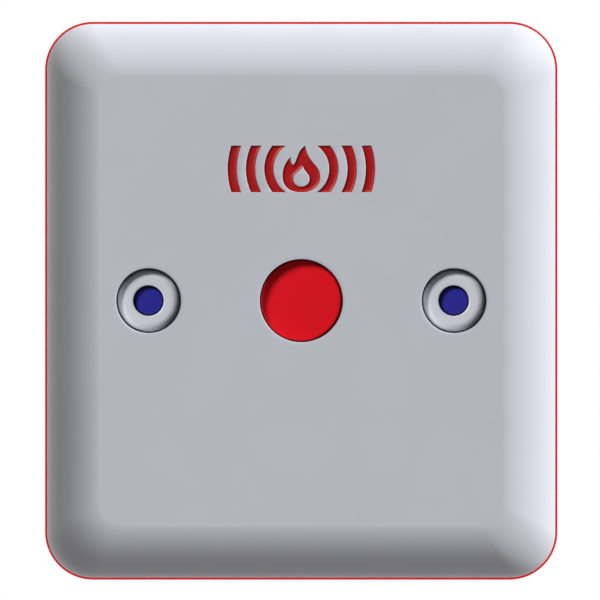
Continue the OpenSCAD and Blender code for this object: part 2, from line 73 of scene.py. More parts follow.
def extent(node):
    """A CAD node's box in millimetres: left, right, foot, head, and its levels above the wall."""
    low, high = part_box(node)
    return Extent(low.x / MM, high.x / MM, low.z / MM, high.z / MM, -high.y / MM, -low.y / MM)


PLATE = extent("front_plate")
BOX = extent("back_box")
GASKET = extent("rim_gasket")
CAP = extent("button_cap")
COLLAR = extent("right_screw_collar")
SCREW_CAP = extent("right_screw_cap")
SYMBOL = extent("symbol_inlay")
BOARD = extent("circuit_board")
INSERTS = extent("threaded_inserts")
PLATE_SCREWS = extent("plate_screws")
SPRING = extent("return_spring")
BLOCK = extent("terminal_housing")
SWITCH = extent("switch_case")

# Front plate
PLATE_W = PLATE.right - PLATE.left
PLATE_H = PLATE.head - PLATE.foot
FACE = PLATE.front
RIM = GASKET.front
WALL = 2.4
INNER = FACE - WALL
CORNER = 9
FACE_CORNER = 4.5
EDGE_W = 10.4
EDGE_DROP = 7.1
EDGE_POWER = 1.7
EDGE_STEPS = 36
BOX_WALL = 2
LIP_GAP = 0.25
LIP_WALL = 1.6
LIP_OUTER = BOX_WALL + LIP_GAP - (BOX.right - PLATE.right)
LIP_INNER = LIP_OUTER + LIP_WALL
LIP_FOOT = RIM - 2.5
LIP_ROOT = RIM + 2

# Screws, collars and caps in the plate
SCREW_X = (COLLAR.left + COLLAR.right) / 2
COLLAR_R = (COLLAR.right - COLLAR.left) / 2
COLLAR_SEAT = 4
COLLAR_SEAT_R = 6.4
COLLAR_BORE_R = 3
COLLAR_ROUND = 1.6
HEAD_BORE_R = 3.7
SCREW_BORE_R = 2.1
SCREW_SEAT = FACE - 7
TOWER_R = 8
TOWER_FOOT = FACE - 12
CAP_R = 2.8

# Button, its guide and the bosses behind the plate
BORE_R = 8.2
BUTTON_R = 8
GUIDE_R = 12.2
GUIDE_WIDE_R = 10.3
GUIDE_FOOT = FACE - 14
GUIDE_STEP = FACE - 6
FLANGE_R = (CAP.right - CAP.left) / 2
FLANGE_T = 1.8
CAP_WALL = 1.8
CAP_HOLLOW_R = 6.5
HUB_R = 3.7
STEM_R = 2.5
STEM_TOP = CAP.front - 2.4
RETAINER_X = 18
RETAINER_BOSS_R = 3
POST_X = 18
POST_Y = 26.5
POST_R = 3.5
PILOT_R = 1.2
PILOT_DEPTH = 8
RETAINER_FOOT = GUIDE_FOOT - 2.4
SPRING_WIRE = 0.9
SPRING_TURNS = 5

# Board
WAYS = 4
PIN_R = 0.5
LEAD_R = 0.3
AXIAL_NODES = ("alarm_resistor", "end_of_line_resistor", "blocking_diode")

# Screws
SCREW_SIDES = 48

# Symbol
SYMBOL_W = SYMBOL.right - SYMBOL.left
SYMBOL_H = SYMBOL.head - SYMBOL.foot
SYMBOL_Y = (SYMBOL.head + SYMBOL.foot) / 2
POCKET = 1
MOUTH_ROUND = 0.12
DISH = 0.75
FLAME_W = 7.4
ARC_COUNT = 3
ARC_STROKE = 1.8

# Back box
BOX_W = BOX.right - BOX.left
BOX_H = BOX.head - BOX.foot
BOX_CORNER = CORNER + (BOX_W - PLATE_W) / 2
BASE = 2.5
KNOCKOUT_R = 10.3
KNOCKOUT_LEVEL = 22
GROOVE_W = 0.7
GROOVE_DEPTH = 1.2
PILLAR_R = 5
PILLAR_TOP = INSERTS.front
INSERT_R = (INSERTS.right - INSERTS.left) / 2 - SCREW_X
PILLAR_BORE_R = 2
PILLAR_BORE_FOOT = BASE + 10
FIXING_X = 35
FIXING_Y = 40
FIXING_R = 2.25
FIXING_BOSS_R = 5.5
FIXING_BOSS_H = 2
ENTRY_Y = 20
ENTRY_R = 10


# ---------------- mesh tools


def circle(radius, centre=(0, 0), count=SEGMENTS):
    turn = math.tau / count
    return [
        (centre[0] + radius * math.cos(i * turn), centre[1] + radius * math.sin(i * turn))
        for i in range(count)
    ]


def outline(width, height, radius, steps=CORNER_STEPS):
    """A rounded rectangle about the middle, anticlockwise from its right side."""
    points = []
    for side_x, side_y, start in ((1, 1, 0), (-1, 1, 90), (-1, -1, 180), (1, -1, 270)):
        for i in range(steps + 1):
            turn = math.radians(start + 90 * i / steps)
            points.append((
                side_x * (width / 2 - radius) + radius * math.cos(turn),
                side_y * (height / 2 - radius) + radius * math.sin(turn),
            ))
    return points


def ring(bm, points, level, place=at):
    return [bm.verts.new(place(x, y, level)) for x, y in points]


def join(bm, low, high, skipped=()):
    """Faces between two rings of points. A ring of one point makes a fan."""
    if len(low) == 1:
        low = low * len(high)
    if len(high) == 1:
        high = high * len(low)
    for i in range(len(low)):
        if i in skipped:
            continue
        j = (i + 1) % len(low)
        corners = [low[i], low[j], high[j], high[i]]
        bm.faces.new([v for k, v in enumerate(corners) if v not in corners[:k]])


def skin(bm, rings, closed=False):
    for low, high in zip(rings, rings[1:] + rings[:1] if closed else rings[1:]):
        join(bm, low, high)


def fill(bm, *loops):
    """Closes the flat region inside the first loop of points, around the other loops."""
    edges = []
    for loop in loops:
        for a, b in zip(loop, loop[1:] + loop[:1]):
            edges.append(bm.edges.get((a, b)) or bm.edges.new((a, b)))
    bmesh.ops.triangle_fill(bm, use_beauty=True, edges=edges)


def profile(corners, steps=4, closed=False):
    """A path through corners of (radius, level, rounding), each corner rounded off."""
    path = []
    last = len(corners) - 1
    for i, (radius, level, rounding) in enumerate(corners):
        if rounding == 0 or (not closed and i in (0, last)):
            path.append((radius, level))
            continue
        corner = Vector((radius, level))
        before = (Vector(corners[i - 1][:2]) - corner).normalized()
        after = (Vector(corners[(i + 1) % len(corners)][:2]) - corner).normalized()
        half = before.angle(after) / 2
        middle = corner + (before + after).normalized() * rounding / math.sin(half)
        start = corner + before * rounding / math.tan(half) - middle
        end = corner + after * rounding / math.tan(half) - middle
        first = math.atan2(start.y, start.x)
        turn = (math.atan2(end.y, end.x) - first + math.pi) % math.tau - math.pi
        for k in range(steps + 1):
            a = first + turn * k / steps
            path.append((middle.x + rounding * math.cos(a), middle.y + rounding * math.sin(a)))
    return path


def turned(bm, path, centre=(0, 0), place=at, closed=False, count=SEGMENTS):
    """Turns a path of (radius, level) about an axis, and returns its first and last rings."""
    rings = []
    for radius, level in path:
        points = circle(radius, centre, count) if radius > 0 else [centre]
        rings.append(ring(bm, points, level, place))
    skin(bm, rings, closed)
    return rings[0], rings[-1]


def bezier(a, b, c, d, steps=10):
    points = []
    for i in range(steps):
        t = i / steps
        s = 1 - t
        weights = (s ** 3, 3 * s * s * t, 3 * s * t * t, t ** 3)
        points.append(tuple(
            sum(w * p[axis] for w, p in zip(weights, (a, b, c, d))) for axis in (0, 1)
        ))
    return points


def inward(points):
    """The direction into an anticlockwise outline, at each of its points."""
    directions = []
    for i, point in enumerate(points):
        before = (Vector(point) - Vector(points[i - 1])).normalized()
        after = (Vector(points[(i + 1) % len(points)]) - Vector(point)).normalized()
        along = (before + after).normalized()
        directions.append(Vector((-along.y, along.x)))
    return directions


def offset(points, distance):
    """An outline moved inwards by the distance, or outwards if it is negative."""
    return [
        tuple(Vector(p) + n * distance) for p, n in zip(points, inward(points))
    ]


def free_way(start, direction, points, limit):
    """How far a ray from the start goes before it meets the outline, up to limit."""
    best = limit
    for a, b in zip(points, points[1:] + points[:1]):
        edge = Vector(b) - Vector(a)
        across = direction.x * edge.y - direction.y * edge.x
        if abs(across) < 1e-9:
            continue
        gap = Vector(a) - Vector(start)
        reach = (gap.x * edge.y - gap.y * edge.x) / across
        share = (gap.x * direction.y - gap.y * direction.x) / across
        if reach > 1e-6 and 0 <= share <= 1:
            best = min(best, reach)
    return best


def piece(bm, name, body, slot_name, *nodes, look=None):
    """Makes a mesh an object that rides the body, fills the slot and replaces the nodes."""
    bmesh.ops.recalc_face_normals(bm, faces=bm.faces)
    for face in bm.faces:
        face.smooth = True
    for edge in bm.edges:
        if len(edge.link_faces) == 2 and edge.calc_face_angle() > SHARP:
            edge.smooth = False
    mesh = bpy.data.meshes.new(name)
    bm.to_mesh(mesh)
    bm.free()
    made = bpy.data.objects.new(name, mesh)
    bpy.context.scene.collection.objects.link(made)
    mesh.materials.append(MATERIALS[look or slot_name])
    even = made.modifiers.new("even_normals", "WEIGHTED_NORMAL")
    even.keep_sharp = True
    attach(made, body)
    if nodes:
        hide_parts(*nodes)
    return made


# ---------------- materials


MATERIALS = {}


def linear(*display):
    """A colour given in display steps of 0 to 255, as linear light."""
    shares = [c / 255 for c in display]
    return tuple(((s + 0.055) / 1.055) ** 2.4 if s > 0.04 else s / 12.92 for s in shares)


class Graph:
    """Short calls for the nodes of a material or a world."""

    def __init__(self, tree):
        self.nodes = tree.nodes
        self.links = tree.links

    def node(self, kind, inputs, output=0, **settings):
        made = self.nodes.new(kind)
        for name, value in settings.items():
            setattr(made, name, value)
        for socket, value in inputs.items():
            if isinstance(value, bpy.types.NodeSocket):
                self.links.new(value, made.inputs[socket])
            else:
                made.inputs[socket].default_value = value
        return made.outputs[output]

    def spread(self, value, low, high, start=0.3, end=0.7):
        """Stretches a value from start..end to low..high."""
        return self.node(
            "ShaderNodeMapRange",
            {"Value": value, "From Min": start, "From Max": end, "To Min": low, "To Max": high},
        )

    def maths(self, operation, a, b=0):
        return self.node("ShaderNodeMath", {0: a, 1: b}, operation=operation)


class Finish(Graph):
    """A material under construction, which MATERIALS keeps under its name."""

    def __init__(self, name):
        self.material = bpy.data.materials.new(name)
        self.material.use_nodes = True
        super().__init__(self.material.node_tree)
        self.shader = self.nodes["Principled BSDF"]
        self.place = self.node("ShaderNodeTexCoord", {}, "Object")
        MATERIALS[name] = self.material

    def socket(self, name):
        return self.shader.inputs[name.replace("_", " ").title().replace("Ior", "IOR")]

    def set(self, **sockets):
        for name, value in sockets.items():
            self.socket(name).default_value = value

    def use(self, **sockets):
        for name, value in sockets.items():
            self.links.new(value, self.socket(name))

    def noise(self, size, detail=3, stretch=(1, 1, 1)):
        """Noise with blotches of that size in millimetres."""
        scale = [s / (size * MM) for s in stretch]
        place = self.node("ShaderNodeMapping", {"Vector": self.place, "Scale": scale})
        return self.node("ShaderNodeTexNoise", {"Vector": place, "Scale": 1, "Detail": detail})

    def blend(self, factor, a, b):
        """A mix of two colours, each a node's output or a plain colour."""
        a, b = (c if isinstance(c, bpy.types.NodeSocket) else (*c, 1) for c in (a, b))
        return self.node("ShaderNodeMix", {0: factor, 6: a, 7: b}, 2, data_type="RGBA")

    def edges(self, radius):
        """About 1 on outer and inner edges within that radius in millimetres, 0 on flat ground."""
        bevel = self.node("ShaderNodeBevel", {"Radius": radius * MM}, samples=4)
        straight = self.node("ShaderNodeNewGeometry", {}, "Normal")
        facing = self.node(
            "ShaderNodeVectorMath", {0: bevel, 1: straight}, "Value", operation="DOT_PRODUCT"
        )
        return self.spread(facing, 1, 0, 0.9, 0.995)

    def bump(self, height, depth, strength=1.0):
        """Relief of that depth in millimetres."""
        inputs = {"Height": height, "Distance": depth * MM, "Strength": strength}
        return self.node("ShaderNodeBump", inputs)


def tinted(colour, amount):
    """The colour made lighter or darker by that amount."""
    return tuple(min(1, c * (1 + amount)) for c in colour)


def plastic(name, colour, roughness, grain=0.35, depth=0.006, edge_wear_and_highlight=0.18, mottle=0.03, gloss=0.5):
    """Moulded plastic: spark-eroded grain, faint flow mottling, and slightly polished edges whose paler
    colour is partly wear and partly a painted highlight.
    """
    finish = Finish(name)
    finish.set(ior=1.46, specular_ior_level=gloss)
    flow = finish.spread(finish.noise(14, 4), 0, 1)
    ground = finish.blend(flow, tinted(colour, -mottle), tinted(colour, mottle))
    # Paler colour along outer and inner edges, in random patches: partly wear, partly a painted
    # highlight.
    edge_tint_patches = finish.spread(finish.noise(0.9), 0, edge_wear_and_highlight, 0.4, 0.65)
    edge_tint = finish.maths("MULTIPLY", finish.edges(0.25), edge_tint_patches)
    pale = tinted([0.5 * c + 0.35 for c in colour], 0.1)
    uneven = finish.spread(finish.noise(5, 5), roughness - 0.05, roughness + 0.06)
    finish.use(
        base_color=finish.blend(edge_tint, ground, pale),
        roughness=finish.maths("SUBTRACT", uneven, finish.maths("MULTIPLY", edge_tint, 0.5)),
        normal=finish.bump(finish.noise(grain, 2), depth),
    )


def rubber(name, colour):
    """Moulded rubber: matt, with a fine pebble and a dusty bloom."""
    finish = Finish(name)
    finish.set(ior=1.5)
    dust = finish.spread(finish.noise(2.5, 6), 0, 0.35, 0.45, 0.75)
    pebble = finish.node("ShaderNodeTexVoronoi", {"Vector": finish.place, "Scale": 3500})
    finish.use(
        base_color=finish.blend(dust, colour, linear(84, 84, 86)),
        roughness=finish.spread(finish.noise(1.2), 0.62, 0.82),
        normal=finish.bump(pebble, 0.02, 0.5),
    )


def metal(name, colour, roughness, stain, lines=0.02):
    """Plated or drawn metal: fine tool lines, uneven plating and duller edges."""
    line_size = 0.08
    finish = Finish(name)
    finish.set(metallic=1.0)
    patches = finish.spread(finish.noise(1.6, 5), 0, 1, 0.35, 0.7)
    ground = finish.blend(patches, colour, stain)
    edge_tint = finish.maths("MULTIPLY", finish.edges(0.12), 0.4)
    tool = finish.noise(line_size, 3, (1, 1, 0.12))
    finish.use(
        base_color=finish.blend(edge_tint, ground, tinted(stain, -0.35)),
        roughness=finish.spread(finish.noise(0.5, 4), roughness - 0.06, roughness + 0.1),
        normal=finish.bump(tool, lines * line_size * 4),
    )


def solder_mask(name, colour):
    """Glossy lacquer over glass cloth, whose weave shows faintly."""
    thread_size = 0.5
    finish = Finish(name)
    finish.set(ior=1.5, coat_weight=0.3, coat_roughness=0.12)
    inputs = {"Vector": finish.place, "Scale": 1 / (thread_size * MM), "Randomness": 0.1}
    weave = finish.node("ShaderNodeTexVoronoi", inputs, distance="MANHATTAN")
    pooled = finish.spread(finish.noise(4, 4), 0, 1)
    cloth = finish.blend(finish.spread(weave, 0, 0.4, 0.1, 0.7), colour, tinted(colour, 0.35))
    finish.use(
        base_color=finish.blend(pooled, cloth, tinted(colour, -0.15)),
        roughness=finish.spread(finish.noise(1, 3), 0.28, 0.42),
        normal=finish.bump(weave, 0.01),
    )


def banded(name, body, bands, middle=0):
    """Lacquered body of an axial part, with colour bands along its length."""
    pitch = 1.25
    finish = Finish(name)
    finish.set(ior=1.5)
    across = finish.node("ShaderNodeSeparateXYZ", {0: finish.place}, "X")
    speck = finish.spread(finish.noise(0.5, 4), 0, 0.25)
    shade = finish.blend(speck, body, tinted(body, -0.25))
    for i, band in enumerate(bands):
        centre = (middle + (i - (len(bands) - 1) / 2) * pitch) * MM
        away = finish.maths("ABSOLUTE", finish.maths("SUBTRACT", across, centre))
        ink = finish.spread(away, 1, 0, 0.27 * MM, 0.33 * MM)
        shade = finish.blend(ink, shade, band)
    finish.use(
        base_color=shade,
        roughness=finish.spread(finish.noise(0.7), 0.28, 0.42),
        normal=finish.bump(finish.noise(0.25, 2), 0.01),
    )


def make_materials():
    brown = linear(150, 70, 20)
    black = linear(20, 20, 20)
    red = linear(190, 30, 20)
    gold = linear(190, 150, 50)
    yellow = linear(230, 190, 20)
    violet = linear(110, 40, 150)
    dark_brown = linear(110, 60, 20)
    silver = linear(196, 196, 198)
    fine = 0.004
    plastic("plate_grey", linear(204, 208, 217), 0.5, mottle=0.012, gloss=0.2)
    plastic("symbol_red", linear(156, 6, 8), 0.45, 0.2, fine, edge_wear_and_highlight=0.08, mottle=0.08, gloss=0.3)
    plastic("collar_grey", linear(190, 192, 199), 0.45, 0.25, fine, gloss=0.3)
    plastic("cap_blue", linear(36, 36, 134), 0.42, 0.25, fine, edge_wear_and_highlight=0.1, gloss=0.2)
    plastic("box_red", linear(200, 22, 34), 0.44, 0.4, depth=0.008, mottle=0.015, gloss=0.25)
    plastic("button_red", linear(204, 12, 26), 0.45, 0.3, fine, edge_wear_and_highlight=0.1, gloss=0.15)
    metal("zinc_steel", linear(198, 200, 204), 0.3, linear(172, 170, 160))
    metal("spring_steel", linear(176, 176, 180), 0.26, linear(120, 116, 112), lines=0.03)
    metal("brass", linear(214, 178, 104), 0.28, linear(166, 124, 62))
    rubber("black_rubber", linear(30, 30, 32))
    plastic("black_plastic", linear(42, 42, 46), 0.45, 0.2, edge_wear_and_highlight=0.25)
    plastic("white_nylon", linear(226, 224, 214), 0.4, 0.3, fine, edge_wear_and_highlight=0.05)
    solder_mask("board_green", linear(16, 78, 44))
    solder_mask("board_track", linear(38, 122, 66))
    plastic("terminal_green", linear(30, 116, 66), 0.42, 0.3, depth=0.005, edge_wear_and_highlight=0.2)
    metal("tinned_metal", linear(206, 206, 208), 0.34, linear(168, 168, 170))
    banded("resistor_tan", linear(205, 178, 132), [brown, black, red, gold])
    banded("resistor_blue", linear(86, 150, 186), [yellow, violet, red, dark_brown])
    banded("diode_black", linear(26, 26, 28), [silver], middle=1.7)


make_materials()


# ---------------- front plate


def plate_outline(inset, corner):
    return outline(PLATE_W - 2 * inset, PLATE_H - 2 * inset, corner)


def corner_at(inset):
    return CORNER + (FACE_CORNER - CORNER) * inset / EDGE_W


def edge_profile():
    """The plate's rounded edge, a quarter superellipse: (inset, level, slope) going inwards."""
    path = []
    bend = 2 - 2 / EDGE_POWER
    for i in range(EDGE_STEPS + 1):
        a = math.radians(90 * i / EDGE_STEPS)
        across = max(0, math.cos(a))
        rise = math.sin(a)
        slope = math.atan2(EDGE_DROP * across ** bend, EDGE_W * rise ** bend)
        inset = EDGE_W * (1 - across ** (2 / EDGE_POWER))
        path.append((inset, FACE - EDGE_DROP * (1 - rise ** (2 / EDGE_POWER)), slope))
    return path


def plate_shell(bm):
    """The shell, from the inner face round the lip and the rim to the front face."""
    rings = []
    for inset, level, slope in reversed(edge_profile()):
        shift = WALL * math.sin(slope)
        points = plate_outline(inset + shift, corner_at(inset) - shift)
        rings.append(ring(bm, points, level - WALL * math.cos(slope)))
    lip = [
        (WALL, FACE - EDGE_DROP, 0),
        (WALL, LIP_ROOT, 0.1),
        (LIP_INNER, LIP_ROOT - 0.6, 0.3),
        (LIP_INNER, LIP_FOOT, 0.3),
        (LIP_OUTER, LIP_FOOT, 0.3),
        (LIP_OUTER, RIM, 0.1),
        (0, RIM, 0.15),
        (0, FACE - EDGE_DROP, 0),
    ]
    for inset, level in profile(lip)[1:-1]:
        rings.append(ring(bm, plate_outline(inset, CORNER - inset), level))
    for inset, level, _ in edge_profile():
        rings.append(ring(bm, plate_outline(inset, corner_at(inset)), level))
    skin(bm, rings)
    return rings[0], rings[-1]


def button_guide(bm):
    path = profile([
        (BORE_R + 0.8, FACE, 0),
        (BORE_R, FACE, 0.12),
        (BORE_R, GUIDE_STEP, 0.15),
        (GUIDE_WIDE_R, GUIDE_STEP, 0.15),
        (GUIDE_WIDE_R, GUIDE_FOOT, 0.3),
        (GUIDE_R, GUIDE_FOOT, 0.3),
        (GUIDE_R, INNER, 0.3),
        (GUIDE_R + 0.4, INNER, 0),
    ])
    return turned(bm, path, count=96)


def screw_tower(bm, x):
    path = profile([
        (COLLAR_SEAT_R + 0.7, FACE, 0),
        (COLLAR_SEAT_R, FACE, 0.15),
        (COLLAR_SEAT_R, FACE - COLLAR_SEAT, 0.15),
        (HEAD_BORE_R, FACE - COLLAR_SEAT, 0.15),
        (HEAD_BORE_R, SCREW_SEAT, 0.15),
        (SCREW_BORE_R, SCREW_SEAT, 0.15),
        (SCREW_BORE_R, TOWER_FOOT, 0.2),
        (TOWER_R, TOWER_FOOT, 0.4),
        (TOWER_R, INNER, 0.3),
        (TOWER_R + 0.4, INNER, 0),
    ])
    return turned(bm, path, (x, 0))


def blind_boss(bm, centre, radius, foot):
    path = profile([
        (radius + 0.4, INNER, 0),
        (radius, INNER, 0.3),
        (radius, foot, 0.25),
        (PILOT_R, foot, 0.15),
        (PILOT_R, foot + PILOT_DEPTH, 0.3),
        (0, foot + PILOT_DEPTH, 0),
    ])
    return turned(bm, path, centre, count=36)[0]


def drawn(*points):
    """A closed outline of Bezier curves, in units of the flame's size. Every third point lies on it."""
    loop = [*points, points[0]]
    curves = zip(loop[::3], loop[1::3], loop[2::3], loop[3::3])
    return [(x * FLAME_W, y * SYMBOL_H + SYMBOL.foot) for c in curves for x, y in bezier(*c)]


def flame_outline():
    return drawn(
        (0, 0), (0.34, 0), (0.5, 0.14),
        (0.5, 0.34), (0.5, 0.6), (0.16, 0.62),
        (0.1, 1), (-0.14, 0.86), (-0.1, 0.66),
        (-0.22, 0.58), (-0.3, 0.64), (-0.3, 0.7),
        (-0.28, 0.76), (-0.46, 0.62), (-0.5, 0.48),
        (-0.5, 0.34), (-0.5, 0.14), (-0.34, 0),
    )


def heart_outline():
    """The island in the flame, where the plate's own face shows."""
    return drawn(
        (0, 0.12), (0.14, 0.12), (0.22, 0.2),
        (0.22, 0.29), (0.22, 0.4), (0.1, 0.42),
        (0.04, 0.56), (-0.08, 0.42), (-0.22, 0.4),
        (-0.22, 0.29), (-0.22, 0.2), (-0.14, 0.12),
    )


def arc_outline(index, side):
    """One of the alarm arcs, cut off level with the symbol's top and bottom."""
    steps = 24
    gap = (SYMBOL_W / 2 - FLAME_W / 2 - ARC_COUNT * ARC_STROKE) / ARC_COUNT
    outer = SYMBOL_W / 2 - index * (ARC_STROKE + gap)
    points = []
    for radius, way in ((outer, 1), (outer - ARC_STROKE, -1)):
        reach = math.asin(SYMBOL_H / 2 / radius)
        for i in range(steps + 1):
            a = way * reach * (2 * i / steps - 1)
            points.append((side * radius * math.cos(a), radius * math.sin(a) + SYMBOL_Y))
    return points if side > 0 else points[::-1]


def arcs():
    return [arc_outline(i, side) for side in SIDES for i in range(ARC_COUNT)]


def pocket_walls(bm, points, way=1):
    """Rounded mouth and walls of an engraved shape. way is -1 round an island."""
    steps = 4
    rings = []
    for i in range(steps + 1):
        a = math.radians(90 * i / steps)
        out = MOUTH_ROUND * (1 - math.sin(a))
        rings.append(ring(bm, offset(points, -way * out), FACE - MOUTH_ROUND * (1 - math.cos(a))))
    rings.append(ring(bm, points, FACE - POCKET))
    skin(bm, rings)
    return rings[0], rings[-1]


def front_plate():
    bm = bmesh.new()
    inner_edge, face_edge = plate_shell(bm)
    face_loops = []
    inner_loops = []
    for start, end in [button_guide(bm)] + [screw_tower(bm, side * SCREW_X) for side in SIDES]:
        face_loops.append(start)
        inner_loops.append(end)
    for side in SIDES:
        inner_loops.append(blind_boss(bm, (side * RETAINER_X, 0), RETAINER_BOSS_R, GUIDE_FOOT))
        for row in SIDES:
            inner_loops.append(blind_boss(bm, (side * POST_X, row * POST_Y), POST_R, BOARD.front))
    for points in arcs():
        mouth, floor = pocket_walls(bm, points)
        face_loops.append(mouth)
        fill(bm, floor)
    mouth, flame_floor = pocket_walls(bm, flame_outline())
    island, heart_floor = pocket_walls(bm, heart_outline(), -1)
    face_loops.append(mouth)
    fill(bm, flame_floor, heart_floor)
    fill(bm, island)
    fill(bm, face_edge, *face_loops)
    fill(bm, inner_edge, *inner_loops)
    return piece(bm, "front_plate_shell", "housing", "plate_grey", "front_plate")


def dish_reaches(loop, directions, loops):
    """How far in from each point the paint's edge slopes: less where the shape is narrow."""
    farthest = 3
    under_half = 0.44
    reaches = []
    for start, direction in zip(loop, directions):
        free = min(free_way(start, direction, other, farthest) for other in loops)
        reaches.append(min(DISH, under_half * free))
    return reaches


def enamel(bm, points, holes=()):
    """Paint filling of an engraved shape: dished in the middle, it creeps up the walls at its edge."""
    edge_level = FACE - MOUTH_ROUND
    foot_level = FACE - POCKET + 0.02
    wall_gap = 0.01
    steps = 6
    loops = [points, *holes]
    rims = []
    floors = []
    for loop in loops:
        way = 1 if loop is points else -1
        directions = [n * way for n in inward(loop)]
        reaches = dish_reaches(loop, directions, loops)
        rings = [ring(bm, offset(loop, way * wall_gap), foot_level)]
        for step in range(steps + 1):
            row = []
            for start, direction, reach in zip(loop, directions, reaches):
                inset = max(wall_gap, reach * step / steps)
                drop = 1 - (1 - inset / DISH) ** 3
                point = Vector(start) + direction * inset
                level = edge_level - (edge_level - SYMBOL.front) * drop
                row.append(bm.verts.new(at(point.x, point.y, level)))
            rings.append(row)
        skin(bm, rings)
        floors.append(rings[0])
        rims.append(rings[-1])
    fill(bm, *floors)
    fill(bm, *rims)


def symbol_inlay():
    bm = bmesh.new()
    for points in arcs():
        enamel(bm, points)
    enamel(bm, flame_outline(), [heart_outline()])
    return piece(bm, "symbol_enamel", "housing", "symbol_red", "symbol_inlay")


# ---------------- collars, caps and button


def screw_collar(side, name, node):
    foot = FACE - COLLAR_SEAT
    bm = bmesh.new()
    section = profile(
        [
            (COLLAR_BORE_R, foot, 0.2),
            (COLLAR_R, foot, 0.3),
            (COLLAR_R, COLLAR.front, COLLAR_ROUND),
            (COLLAR_BORE_R, COLLAR.front, 0.25),
        ],
        8,
        closed=True,
    )
    turned(bm, section, (side * SCREW_X, 0), closed=True)
    return piece(bm, name, "housing", "collar_grey", node)


def ribbed(radius, rib, centre):
    """A circle with four narrow ribs that stand out by rib."""
    points = []
    for x, y in circle(1):
        ridge = max(0, math.cos(4 * math.atan2(y, x))) ** 12
        points.append((centre[0] + x * (radius + rib * ridge), centre[1] + y * (radius + rib * ridge)))
    return points


def screw_cap(side, name, node):
    centre = (side * SCREW_X, 0)
    rib_top = SCREW_CAP.back + 1.2
    rib = 0.15
    bm = bmesh.new()
    rings = [[bm.verts.new(at(*centre, SCREW_CAP.back))]]
    low = profile([(0, SCREW_CAP.back, 0), (CAP_R, SCREW_CAP.back, 0.2), (CAP_R, rib_top, 0)])
    for radius, level in low[1:]:
        rings.append(ring(bm, ribbed(radius, rib, centre), level))
    rings.append(ring(bm, circle(CAP_R, centre), rib_top + 0.15))
    high = profile([(CAP_R, rib_top, 0), (CAP_R, SCREW_CAP.front, 0.35), (0, SCREW_CAP.front, 0)], 6)
    for radius, level in high[1:-1]:
        rings.append(ring(bm, circle(radius, centre), level))
    rings.append([bm.verts.new(at(*centre, SCREW_CAP.front))])
    skin(bm, rings)
    return piece(bm, name, "housing", "cap_blue", node)


def button_cap():
    bm = bmesh.new()
    top = CAP.front
    foot = CAP.back
    path = profile(
        [
            (0, top, 0),
            (BUTTON_R, top, 0.5),
            (BUTTON_R, foot + FLANGE_T, 0.15),
            (FLANGE_R, foot + FLANGE_T, 0.2),
            (FLANGE_R, foot, 0.2),
            (CAP_HOLLOW_R, foot, 0.2),
            (CAP_HOLLOW_R, top - CAP_WALL, 0.4),
            (HUB_R, top - CAP_WALL, 0.4),
            (HUB_R, foot, 0.2),
            (STEM_R, foot, 0.15),
            (STEM_R, STEM_TOP, 0.1),
            (0, STEM_TOP, 0),
        ],
        5,
    )
    turned(bm, path, count=96)
    return piece(bm, "button_disc", "button", "button_red", "button_cap")


# ---------------- back box and gasket


def box_ring(bm, inset, level):
    return ring(bm, outline(BOX_W - 2 * inset, BOX_H - 2 * inset, BOX_CORNER - inset), level)


def knockout(bm, side, wall_loop):
    """A round groove in the top or bottom wall, with a shallow dimple in the middle of its disc."""
    dimple_r = 1.6
    dimple_depth = 0.4

    def place(across, along, out):
        return at(across, side * (BOX_H / 2 + out), KNOCKOUT_LEVEL + along)

    path = profile([
        (KNOCKOUT_R + 0.5, 0, 0),
        (KNOCKOUT_R, 0, 0.2),
        (KNOCKOUT_R, -GROOVE_DEPTH, 0.15),
        (KNOCKOUT_R - GROOVE_W, -GROOVE_DEPTH, 0.15),
        (KNOCKOUT_R - GROOVE_W, 0, 0.2),
        (dimple_r, 0, 0.2),
        (dimple_r - 0.5, -dimple_depth, 0.2),
        (0, -dimple_depth, 0),
    ])
    start, _ = turned(bm, path, place=place)
    fill(bm, wall_loop, start)


def pillar(bm, x):
    path = profile([
        (PILLAR_R + 0.7, BASE, 0),
        (PILLAR_R, BASE, 0.5),
        (PILLAR_R, PILLAR_TOP, 0.25),
        (INSERT_R, PILLAR_TOP, 0.15),
        (INSERT_R, INSERTS.back, 0),
        (PILLAR_BORE_R, INSERTS.back, 0),
        (PILLAR_BORE_R, PILLAR_BORE_FOOT, 0.3),
        (0, PILLAR_BORE_FOOT, 0),
    ])
    return turned(bm, path, (x, 0))[0]


def fixing(bm, x, y):
    top = BASE + FIXING_BOSS_H
    path = profile([
        (FIXING_BOSS_R + 0.6, BASE, 0),
        (FIXING_BOSS_R, BASE, 0.4),
        (FIXING_BOSS_R, top, 0.3),
        (FIXING_R, top, 0.3),
        (FIXING_R, 0, 0.3),
        (FIXING_R + 0.6, 0, 0),
    ])
    return turned(bm, path, (x, y), count=40)


def cable_entry(bm):
    mouth = ENTRY_R + 0.8
    path = profile([(mouth, BASE, 0), (ENTRY_R, BASE, 0.5), (ENTRY_R, 0, 0.5), (mouth, 0, 0)])
    return turned(bm, path, (0, ENTRY_Y))


def four_spots(across, up):
    return [(x * across, y * up) for x in SIDES for y in SIDES]


